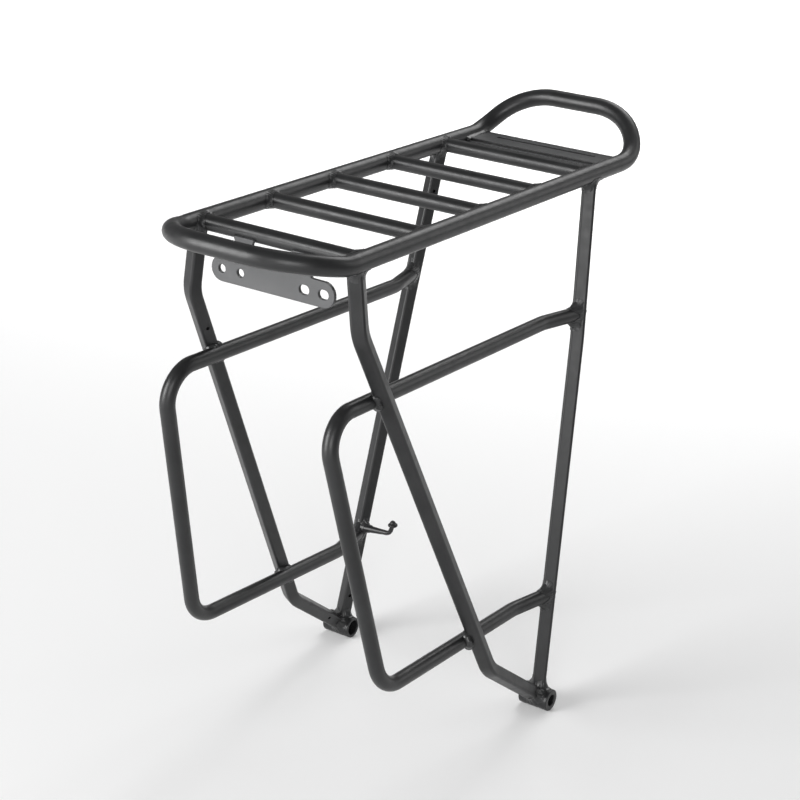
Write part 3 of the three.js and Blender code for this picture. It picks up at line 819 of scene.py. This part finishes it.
def tapered_rod():
    root, elbow, tip = hook_points()
    corners = [(root, None), (elbow, HOOK_BEND_R), (tip, None)]
    section = round_section(HOOK_ROOT_R, 28)
    rod = bent_tube("cord_hook_rod", section, corners, Vector((0, 1, 0)), step=0.15)
    length = elbow.x - root.x
    rings = [root.x + k * length / TAPER_STEPS for k in range(1, TAPER_STEPS)]
    cut_rings(rod, rings, Vector((1, 0, 0)))
    for vertex in rod.data.vertices:
        share = min(max((vertex.co.x - root.x) / length, 0), 1)
        line = root.lerp(elbow, share)
        if vertex.co.x > elbow.x - NEAR_THE_BEND:
            line = nearest_on_bend(vertex.co, root, elbow, tip)
        radius = HOOK_ROOT_R + (HOOK_TIP_R - HOOK_ROOT_R) * share
        vertex.co = line + (vertex.co - line) * (radius / HOOK_ROOT_R)
    smooth(rod)
    return rod


def nearest_on_bend(point, root, elbow, tip):
    """The nearest point of the rod's own line: a run, a bend and a second run."""
    start, centre, axis, _, end = bend_of(root, elbow, tip, HOOK_BEND_R)
    if (point - start).dot(elbow - root) < 0:
        way = (elbow - root).normalized()
        return root + way * (point - root).dot(way)
    if (point - end).dot(tip - elbow) > 0:
        way = (tip - elbow).normalized()
        return elbow + way * (point - elbow).dot(way)
    flat = point - centre
    flat -= axis.normalized() * flat.dot(axis.normalized())
    return centre + flat.normalized() * HOOK_BEND_R


# %% Knob
COLLAR_R = 3.6 * MM
COLLAR_FLATNESS = 0.52
BALL_R = 2.1 * MM
BALL_ABOVE = 1.5 * MM
KNOB_BELOW_TIP = 0.6 * MM
KNOB_UP = Vector((-0.05, 0, 1))
KNOB_VOXEL = 0.22 * MM


def knob():
    _, elbow, tip = hook_points()
    up = (tip - elbow).normalized()
    deselect_all()
    bpy.ops.mesh.primitive_uv_sphere_add(segments=36, ring_count=18, radius=COLLAR_R)
    collar = bpy.context.object
    collar.name = collar.data.name = "cord_hook_knob"
    bpy.ops.object.mode_set(mode="EDIT")
    bpy.ops.transform.resize(value=(1, 1, COLLAR_FLATNESS))
    above = (0, 0, BALL_ABOVE)
    bpy.ops.mesh.primitive_uv_sphere_add(segments=28, ring_count=14, radius=BALL_R, location=above)
    bpy.ops.object.mode_set(mode="OBJECT")
    apply_modifier(collar, "REMESH", mode="VOXEL", voxel_size=KNOB_VOXEL)
    apply_modifier(collar, "SMOOTH", factor=0.5, iterations=4)
    collar.matrix_world = across(tip - up * KNOB_BELOW_TIP, KNOB_UP, Vector((0, 1, 0)))
    apply_place(collar)
    smooth(collar, 60)
    return collar


finish_piece(tapered_rod(), "frame_coat", "cord_hook")
finish_piece(knob(), "frame_coat")

# %% [markdown]
# ## Weld beads
# A weld fills the corner where a tube meets another. Its section is a hollow curve that runs
# up the tube and out along the wall, with a small step at each rim, and its surface is crossed
# by fine ripples, where each drop of metal froze on the last. So a bead is a ring of edges,
# extruded once for each point of that section, and laid into the corner. A bead painted on with
# a bump alone would be right from the front, but not in outline, where a weld shows most.
#
# To find the corner, each line along the tube's wall is followed until it meets the other tube,
# which is one quadratic equation. The lines start well clear of the corner.

# %% Where two surfaces meet
LINE_START = 25 * MM
LEG_SQUARENESS = 0.75


def ring_round(centre, along, facing, half_x, half_y, count=168, corner=1.0):
    """Points and outward directions round a section; corner below 1 squares it off."""
    turn = across(centre, along, facing).to_3x3()
    ring = []
    for k in range(count):
        a = 2 * math.pi * k / count
        c, s = math.cos(a), math.sin(a)
        x = math.copysign(abs(c) ** corner, c) * half_x
        y = math.copysign(abs(s) ** corner, s) * half_y
        out = Vector((c / half_x, s / half_y, 0)).normalized()
        ring.append((centre + turn @ Vector((x, y, 0)), turn @ out))
    return ring


def off_axis(point, wall):
    axis_point, axis, _ = wall
    offset = point - axis_point
    return offset - axis * offset.dot(axis)


def meet_wall(point, way, wall):
    """Where a line along way reaches the round wall, or passes nearest to it."""
    axis_point, axis, radius = wall
    offset = off_axis(point, wall)
    over = way - axis * way.dot(axis)
    a, b = over.dot(over), offset.dot(over)
    under = b * b - a * (offset.dot(offset) - radius ** 2)
    return point + way * (-b - math.sqrt(max(under, 0))) / a


def onto_wall(point, wall, lift=0.0):
    offset = off_axis(point, wall)
    return point + offset.normalized() * (wall[2] + lift - offset.length)


# %% The bead's section
RIM = 0.35 * MM
SINK = 1.5 * MM
HOLLOW = 0.5 * MM
VALLEY_BOW = 0.45
VALLEY_SHARPNESS = 0.7


def bead_section(point, out, way, wall, up_tube, along_wall, steps=8):
    """From inside the tube, over the hollow curve, to inside the wall."""
    corner = meet_wall(point, way, wall)
    normal = off_axis(corner, wall).normalized()
    sideways = out + way
    sideways = (sideways - normal * sideways.dot(normal)).normalized()
    start = corner - way * up_tube + out * RIM
    end = onto_wall(corner + sideways * along_wall, wall, RIM)
    middle = corner + (out + normal) * HOLLOW
    curve = []
    for k in range(steps + 1):
        t = k / steps
        curve.append(start * (1 - t) ** 2 + middle * 2 * t * (1 - t) + end * t ** 2)
    inside = onto_wall(end, wall, -SINK)
    return [start - out * SINK, *curve, inside], (out + normal).normalized()


def ripple(section, out, turn_share, ripples, depth):
    """Sinks the valleys between the drops; each valley is an arc across the bead."""
    last = len(section) - 1
    moved = []
    for row, point in enumerate(section):
        t = row / last
        phase = turn_share * ripples + VALLEY_BOW * (2 * t - 1) ** 2
        valley = 1 - abs(math.sin(math.pi * phase)) ** VALLEY_SHARPNESS
        fade = math.sin(math.pi * t) ** 0.5
        moved.append(point - out * depth * valley * fade)
    return moved


# %% Laying a bead
def ring_mesh(name, count, rows):
    """A closed ring of faces whose vertices are numbered by their angle and height."""
    deselect_all()
    bpy.ops.mesh.primitive_circle_add(vertices=count, radius=1, fill_type="NOTHING")
    piece = bpy.context.object
    piece.name = piece.data.name = name
    bpy.ops.object.mode_set(mode="EDIT")
    bpy.ops.mesh.select_all(action="SELECT")
    for _ in range(rows - 1):
        bpy.ops.mesh.extrude_region_move(TRANSFORM_OT_translate={"value": (0, 0, 1)})
    bpy.ops.mesh.select_mode(type="EDGE")
    bpy.ops.mesh.select_all(action="DESELECT")
    bpy.ops.mesh.select_non_manifold(extend=False)
    bpy.ops.mesh.bridge_edge_loops()
    bpy.ops.object.mode_set(mode="OBJECT")
    return piece


def lay_bead(name, ring, way, wall, up_tube, along_wall, pitch=1.5 * MM, depth=0.16 * MM):
    """up_tube and along_wall are lengths, or functions of the outward direction."""
    way = way.normalized()
    wall = (wall[0], wall[1].normalized(), wall[2])
    corners = [meet_wall(point, way, wall) for point, _ in ring]
    length = sum((a - b).length for a, b in zip(corners, corners[1:] + corners[:1]))
    ripples = round(length / pitch)
    sections = []
    for k, (point, out) in enumerate(ring):
        up = up_tube(out) if callable(up_tube) else up_tube
        wide = along_wall(out) if callable(along_wall) else along_wall
        section, outward = bead_section(point, out, way, wall, up, wide)
        sections.append(ripple(section, outward, k / len(ring), ripples, depth))
    piece = ring_mesh(name, len(ring), len(sections[0]))
    for vertex in piece.data.vertices:
        k = round(math.atan2(vertex.co.y, vertex.co.x) / (2 * math.pi) * len(ring)) % len(ring)
        vertex.co = sections[k][round(vertex.co.z)]
    close_seams(piece, 0.0005 * MM)
    smooth(piece, 50)
    return piece


# %% Beads at the crossbars' ends
def rail_wall(side, y):
    return Vector((side * RAIL_X, y, RAIL_Z)), Vector((0, 1, 0)), RAIL_R


for number, y in enumerate(BAR_Y, 1):
    for label, side in SIDES.items():
        start = Vector((side * (RAIL_X - LINE_START), y, RAIL_Z))
        ring = ring_round(start, Vector((side, 0, 0)), Vector((0, 0, 1)), BAR_R, BAR_R)
        joint = lay_bead(
            f"weld_crossbar_{number}_{label}_bead", ring, Vector((side, 0, 0)), rail_wall(side, y),
            2.6 * MM, lambda out: (1.2 + 2.6 * abs(out.y)) * MM,
        )
        finish_piece(joint, "weld_beads", f"weld_crossbar_{number}_{label}")

# %% [markdown]
# ### Under the rails
# The legs carry the load into the rails, so their beads are the largest. Each flares like a
# trumpet, and the rear one runs further back along the rail than forward, towards the loop. The
# same ring of edges serves, with lengths that depend on which way a point of it looks.

# %% Beads at the legs' tops
for kind, (corners_of, turn, _) in LEGS.items():
    back_reach = 6.5 if kind == "rear_leg" else 4.2
    for label, side in SIDES.items():
        top, below = [point for point, _ in corners_of(side)[:2]]
        up = (top - below).normalized()
        facing = face_of(side, turn)
        ring = ring_round(below, up, facing, LEG_DEPTH / 2, LEG_WIDTH / 2, corner=LEG_SQUARENESS)
        joint = lay_bead(
            f"weld_{kind}_top_{label}_bead", ring, up, rail_wall(side, top.y),
            lambda out: (4.6 + 1.2 * abs(out.y)) * MM,
            lambda out: (1.0 + (back_reach if out.y > 0 else 3.4) * abs(out.y) ** 1.5) * MM,
        )
        finish_piece(joint, "weld_beads", f"weld_{kind}_top_{label}")

# %% [markdown]
# ### Where the side hoops cross the front legs
# Two tubes that cross meet in a small closed saddle round the spot where they touch. A swept
# section would fold over itself where the saddle is tight. So the bead is a row of small drops
# along the saddle, as a welder lays them, which a voxel remesh melts together. The saddle is
# found by walking outwards from its middle until the two surfaces part.

# %% Drops for the crossings
def drop_mesh():
    deselect_all()
    bpy.ops.mesh.primitive_ico_sphere_add(subdivisions=3, radius=1)
    ball = bpy.context.object
    mesh = ball.data.copy()
    bpy.data.objects.remove(ball)
    return mesh


DROP = drop_mesh()
DROP_VOXEL = 0.42 * MM
DROP_OVERLAP = 1.3
chance = random.Random(7)
print("one drop has", len(DROP.polygons), "faces")


def drop(at, normal, run, length, width, height):
    """One drop: length along the bead's line, width up the two walls, height off the corner."""
    z = normal.normalized()
    x = (run - z * run.dot(z)).normalized()
    turn = Matrix((x, z.cross(x), z)).transposed().to_4x4()
    mesh = DROP.copy()
    mesh.transform(Matrix.Translation(at) @ turn @ Matrix.Diagonal((length, width, height, 1)))
    piece = bpy.data.objects.new("drop", mesh)
    bpy.context.scene.collection.objects.link(piece)
    return piece


def bead(name, line, width, height, pitch=1.3 * MM, closed=True, softness=9, wobble=0.14):
    """line is a list of (point, outward direction) pairs along the corner being filled."""
    points = [point for point, _ in line] + ([line[0][0]] if closed else [])
    drops = []
    carried = 0.0
    for index in range(len(points) - 1):
        start, end = points[index], points[index + 1]
        run = end - start
        out_a = line[index][1]
        out_b = line[(index + 1) % len(line)][1]
        while carried < run.length:
            share = carried / run.length
            grow = 1 + chance.uniform(-wobble, wobble)
            at = start.lerp(end, share)
            out = out_a.lerp(out_b, share)
            drops.append(drop(at, out, run, pitch * DROP_OVERLAP, width * grow, height * grow))
            carried += pitch
        carried -= run.length
    piece = join(drops, name)
    apply_modifier(piece, "REMESH", mode="VOXEL", voxel_size=DROP_VOXEL)
    apply_modifier(piece, "SMOOTH", factor=0.5, iterations=softness)
    smooth(piece, 180)
    return piece


# %% Beads at the crossings
FARTHEST = 7 * MM
WALK = 0.1 * MM


def crossing_line(leg_point, leg_way, hoop_point, hoop_way, side, count=28):
    leg_r, hoop_r = LEG_WIDTH / 2, BAR_R
    between = abs(leg_point.x - hoop_point.x)
    middle = Vector((0, hoop_point.y, hoop_point.z))
    leg_flat = Vector((0, leg_way.y, leg_way.z)).normalized()
    hoop_flat = Vector((0, hoop_way.y, hoop_way.z)).normalized()
    line = []
    for k in range(count):
        a = 2 * math.pi * k / count
        out = Vector((0, math.cos(a), math.sin(a)))
        reach = 0.0
        while reach < FARTHEST:
            step = out * reach
            off_leg = step.cross(leg_flat).length
            off_hoop = step.cross(hoop_flat).length
            if off_leg >= leg_r or off_hoop >= hoop_r:
                break
            leg_rise = math.sqrt(leg_r ** 2 - off_leg ** 2)
            hoop_rise = math.sqrt(hoop_r ** 2 - off_hoop ** 2)
            if leg_rise + hoop_rise < between:
                break
            reach += WALK
        step = out * reach
        rise = math.sqrt(max(hoop_r ** 2 - step.cross(hoop_flat).length ** 2, 0))
        at = middle + step + Vector((hoop_point.x + side * rise, 0, 0))
        line.append((at, out))
    return line


def crossing_bead(name, side, z, hoop_run):
    leg = [point for point, _ in front_leg_corners(side)]
    leg_point = at_height(leg, z)
    leg_way = leg[2] - leg[1]
    hoop_start, hoop_end = hoop_run
    share = (leg_point.y - hoop_start.y) / (hoop_end.y - hoop_start.y)
    hoop_point = hoop_start.lerp(hoop_end, share)
    line = crossing_line(leg_point, leg_way, hoop_point, hoop_end - hoop_start, side)
    return bead(name, line, 3.1 * MM, 2.5 * MM, wobble=0.2, softness=14)


for label, side in SIDES.items():
    corners = [point for point, _ in side_hoop_corners(side)]
    runs = {"upper": (corners[2], corners[1]), "lower": (corners[3], corners[4])}
    for height, run in runs.items():
        name = f"weld_{height}_crossing_{label}"
        joint = crossing_bead(name + "_bead", side, run[0].z, run)
        finish_piece(joint, "weld_beads", name)

# %% [markdown]
# ### At the side hoops' ends and the feet
# Both of a side hoop's ends run into the rear leg, and both legs run into the foot, so these
# beads are rings again. A flat-sided leg would need its own equation. It is treated as a round
# tube of its full width instead, so the bead's rim stands a little proud of its flats.

# %% Beads at the hoops' ends
def end_bead(name, end, before, leg_way):
    way = (end - before).normalized()
    ring = ring_round(end - way * LINE_START, way, Vector((0, 0, 1)), BAR_R, BAR_R)
    wall = (end, leg_way, LEG_WIDTH / 2)
    return lay_bead(
        name, ring, way, wall,
        lambda out: (4.4 + 2.4 * abs(out.z)) * MM,
        lambda out: (1.7 + 4.6 * abs(out.z)) * MM,
        pitch=1.9 * MM, depth=0.26 * MM,
    )


for label, side in SIDES.items():
    corners = [point for point, _ in side_hoop_corners(side)]
    leg = [point for point, _ in rear_leg_corners(side)]
    ends = {"upper": (corners[0], corners[1]), "lower": (corners[-1], corners[-2])}
    for height, (end, before) in ends.items():
        name = f"weld_{height}_hoop_end_{label}"
        finish_piece(end_bead(name + "_bead", end, before, leg[2] - leg[1]), "weld_beads", name)

# %% Beads at the feet
for label, side in SIDES.items():
    foot = foot_at(side)
    collars = []
    for kind, (corners_of, turn, _) in LEGS.items():
        before, end = [point for point, _ in corners_of(side)[-2:]]
        way = (end - before).normalized()
        start = end - way * LINE_START
        facing = face_of(side, turn)
        ring = ring_round(start, way, facing, LEG_DEPTH / 2, LEG_WIDTH / 2, corner=LEG_SQUARENESS)
        wall = (foot, Vector((1, 0, 0)), BOSS_R)
        collars.append(lay_bead(
            f"collar_{kind}", ring, way, wall,
            lambda out: (4.6 + 1.8 * abs(out.x)) * MM,
            lambda out: (3.2 + 1.2 * abs(out.x)) * MM,
            pitch=2.2 * MM, depth=0.3 * MM,
        ))
    finish_piece(join(collars, f"weld_foot_{label}_bead"), "weld_beads", f"weld_foot_{label}")

# %% [markdown]
# ### At the plates and the hook
# The front plate hangs from the first crossbar by its two tabs, and the lamp plate lies between
# the rails. Each is held by short straight beads, and a row of drops is the simplest way to lay
# those. The hook is a rod and so a round tube's bead fits it, drawn a little inside its taper.

# %% Beads at the plates
def straight_line(start, end, out, count=12):
    return [(start.lerp(end, k / count), out) for k in range(count + 1)]


def straight_bead(name, start, end, out, width, height):
    joint = bead(name, straight_line(start, end, out), width, height, closed=False)
    return finish_piece(joint, "weld_beads")


for label, side in SIDES.items():
    bar_front = BAR_Y[0] - BAR_R + 0.4 * MM
    start = Vector((side * TAB_INNER * MM, bar_front, (TAB_TOP - 0.5) * MM))
    end = Vector((side * TAB_OUTER * MM, start.y, start.z))
    out = Vector((0, -0.8, 0.5))
    straight_bead(f"weld_tab_{label}_bead", start, end, out, 1.9 * MM, 0.9 * MM)

plate_low, plate_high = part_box("lamp_plate")
for label, side in SIDES.items():
    x = side * (RAIL_X - RAIL_R - 0.2 * MM)
    start = Vector((x, plate_low.y + 1 * MM, plate_high.z - 0.3 * MM))
    end = Vector((x, plate_high.y - 1 * MM, plate_high.z + 0.6 * MM))
    out = Vector((-side * 0.4, 0, 1))
    straight_bead(f"weld_lamp_plate_{label}_bead", start, end, out, 2.6 * MM, 1.0 * MM)

# %% Bead at the hook
HOOK_RING_R = 0.93 * HOOK_ROOT_R
hook_root, hook_elbow, _ = hook_points()
hook_way = (hook_root - hook_elbow).normalized()
start = hook_root - hook_way * LINE_START
hook_ring = ring_round(start, hook_way, Vector((0, 0, 1)), HOOK_RING_R, HOOK_RING_R, count=96)
rear_leg = [point for point, _ in rear_leg_corners(SIDES["right"])]
hook_wall = (at_height(rear_leg, hook_root.z), rear_leg[2] - rear_leg[1], LEG_WIDTH / 2)
ripples = {"pitch": 1.8 * MM, "depth": 0.2 * MM}
joint = lay_bead("weld_cord_hook_bead", hook_ring, hook_way, hook_wall, 6.5 * MM, 5 * MM, **ripples)
finish_piece(joint, "weld_beads")

# %% [markdown]
# ## Floor and light
# A plain pale floor and soft lights, as in a small studio. Dark satin paint shows little of its
# own colour, so its shape is drawn by what it reflects. One big light would leave its other side
# black. So a tall soft box stands low in front, on the side of the rack's right, with a dimmer
# one across from it and a faint one behind on the left. One more stands behind, higher, and
# lights the top edges of the tubes. The last light looks straight down at the floor behind the
# rack and whitens it.

# %% Studio
FLOOR_GAP = 0.2 * MM
LIGHT_AWAY = 2.2
LIT_PLACE = Vector((0, 130, -120)) * MM
rest_low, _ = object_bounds()


def studio_material(name, colour, roughness):
    material = bpy.data.materials.new(name)
    material.use_nodes = True
    shader = material.node_tree.nodes["Principled BSDF"]
    shader.inputs["Base Color"].default_value = colour
    shader.inputs["Roughness"].default_value = roughness
    return material


deselect_all()
bpy.ops.mesh.primitive_plane_add(size=14, location=(0, 0, rest_low.z - FLOOR_GAP))
floor = bpy.context.object
floor.name = "studio_floor"
floor.data.materials.append(studio_material("pale_floor", (0.93, 0.93, 0.93, 1), 0.8))


# %% Lights
def soft_box(name, azimuth, elevation, size, power):
    """A light, wide and tall, that faces the rack; azimuth 270 is straight in front."""
    a, e = math.radians(azimuth), math.radians(elevation)
    way = Vector((math.cos(e) * math.cos(a), math.cos(e) * math.sin(a), math.sin(e)))
    bpy.ops.object.light_add(type="AREA", location=LIT_PLACE + way * LIGHT_AWAY)
    light = bpy.context.object
    light.name = name
    light.data.shape = "RECTANGLE"
    light.data.size, light.data.size_y = size
    light.data.energy = power
    light.rotation_euler = (-way).to_track_quat("-Z", "Y").to_euler()
    return light


soft_box("front_right_tall", azimuth=241, elevation=15, size=(1.15, 1.5), power=56)
soft_box("front_left_low", azimuth=305, elevation=14, size=(1.1, 1.1), power=21)
soft_box("left_side", azimuth=50, elevation=20, size=(1.1, 1.3), power=7)
soft_box("behind_high", azimuth=95, elevation=40, size=(1.1, 0.9), power=11)


def floor_wash(name, place_at, size, power):
    """A light that looks straight down and is kept narrow, so that it whitens the floor only."""
    bpy.ops.object.light_add(type="AREA", location=place_at)
    light = bpy.context.object
    light.name = name
    light.data.size = size
    light.data.energy = power
    light.data.spread = math.radians(95)
    return light


floor_wash("floor_wash_behind", (-1.6, 2.6, 1.6), size=3.0, power=56)

world = bpy.data.worlds.new("pale_studio")
bpy.context.scene.world = world
world.use_nodes = True
sky = world.node_tree.nodes["Background"]
sky.inputs["Color"].default_value = (1, 1, 1, 1)
sky.inputs["Strength"].default_value = 0.22
bpy.context.scene.view_settings.view_transform = "Standard"
lamps = [thing for thing in bpy.data.objects if thing.type == "LIGHT"]
print("lights:", [(lamp.name, round(lamp.data.energy)) for lamp in lamps])
